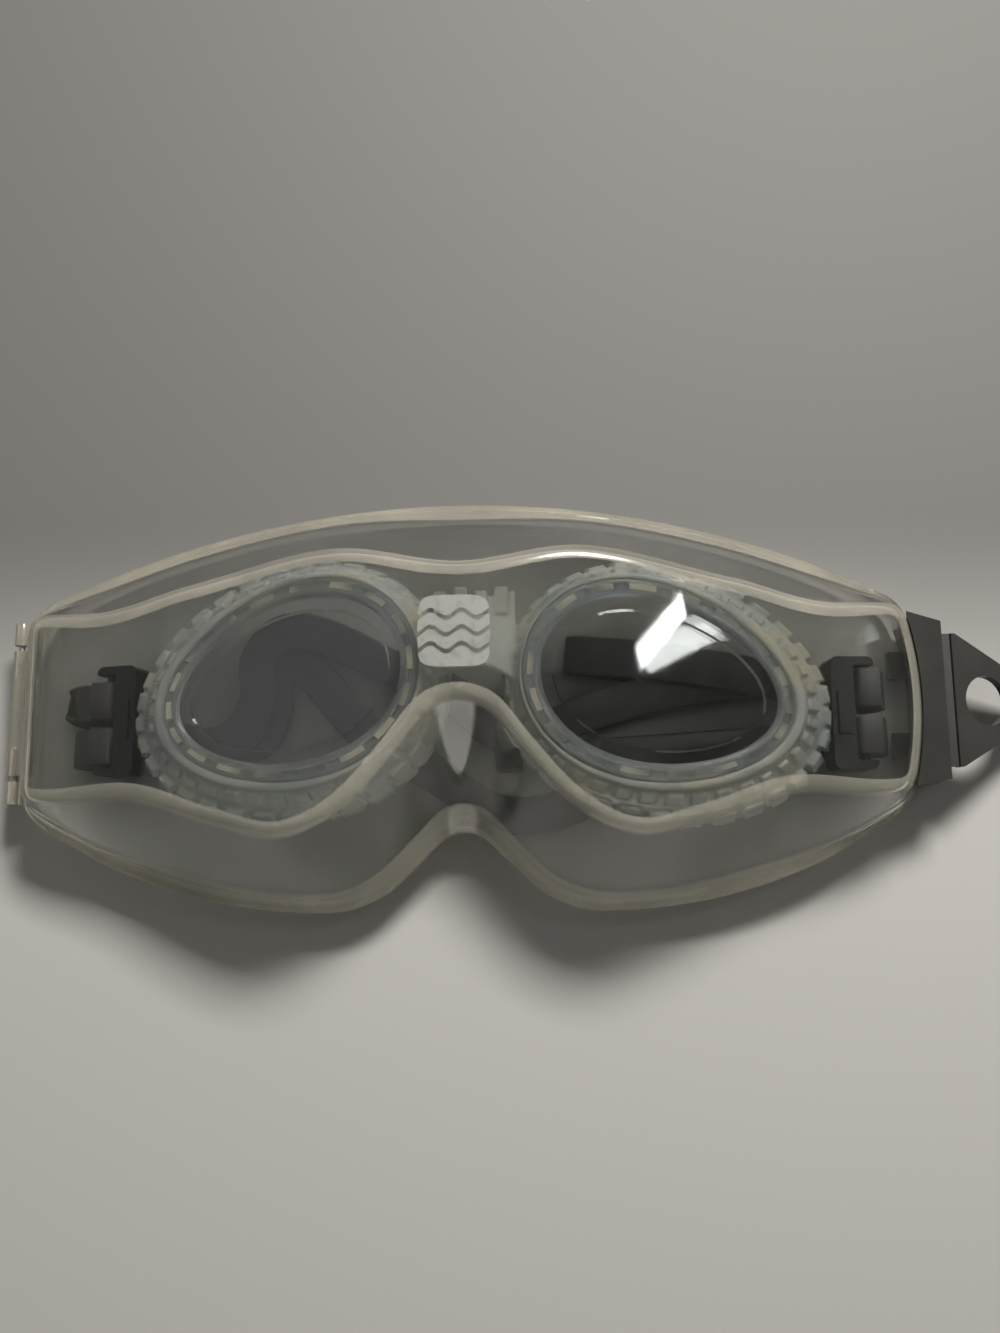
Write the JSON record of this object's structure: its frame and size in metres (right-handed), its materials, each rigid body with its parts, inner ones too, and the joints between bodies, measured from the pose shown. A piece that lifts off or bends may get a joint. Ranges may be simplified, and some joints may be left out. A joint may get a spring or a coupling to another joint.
{
  "type": "swim goggles in a hard case",
  "caption": "Silicone swim goggles with clear lenses and a folded strap, packed in a hinged clear case with a grey end cap and a hang tab.",
  "frame": {"origin": "middle of the flat back that the case lies on, on the nose line", "axes": "+X along the case to the hang tab, +Y to the brow side, +Z out of the front face"},
  "size_m": [0.2277, 0.0893, 0.038],
  "materials": {
    "clear_case": "clear, glossy",
    "clear_lens": "clear, polished",
    "clear_ring": "frosted clear",
    "silicone": "translucent satin",
    "grey_plastic": "smooth smoke grey",
    "strap": "matte",
    "buckle": "satin",
    "steel": "brushed"
  },
  "bodies": {
    "case_and_goggles": {"back_shell": "clear_case", "hinge_pin_upper": "steel", "hinge_pin_lower": "steel", "silicone_frame": "silicone", "lens_left": "clear_lens", "lens_right": "clear_lens", "lens_ring_left": "clear_ring", "lens_ring_right": "clear_ring", "buckle_left": "buckle", "buckle_right": "buckle", "buckle_bar_left": "buckle", "buckle_bar_right": "buckle", "strap_upper": "strap", "strap_lower": "strap", "strap_keeper": "strap"},
    "front_lid": {"front_shell": "clear_case"},
    "end_cap": {"end_cap": "grey_plastic"},
    "hang_tab": {"hang_tab": "grey_plastic"},
    "button_left": {"buckle_button_left": "buckle"},
    "button_right": {"buckle_button_right": "buckle"}
  },
  "joints": [
    {"name": "lid_hinge", "type": "hinge", "parent": "case_and_goggles", "child": "front_lid", "pos_m": [-0.0992, 0.002, 0.009], "axis": [0, -1, 0], "range_deg": [0, 110]},
    {"name": "cap_pull", "type": "slide", "parent": "case_and_goggles", "child": "end_cap", "axis": [1, 0, 0], "range_m": [0, 0.012]},
    {"name": "tab_fold", "type": "hinge", "parent": "end_cap", "child": "hang_tab", "pos_m": [0.104, 0.0015, 0.0142], "axis": [0, 1, 0], "range_deg": [-50, 10]},
    {"name": "button_left_press", "type": "slide", "parent": "case_and_goggles", "child": "button_left", "axis": [0.2419, 0, -0.9703], "range_m": [0, 0.0006], "stiffness_N_per_m": 800},
    {"name": "button_right_press", "type": "slide", "parent": "case_and_goggles", "child": "button_right", "axis": [-0.1392, 0, -0.9903], "range_m": [0, 0.0006], "stiffness_N_per_m": 800}
  ]
}
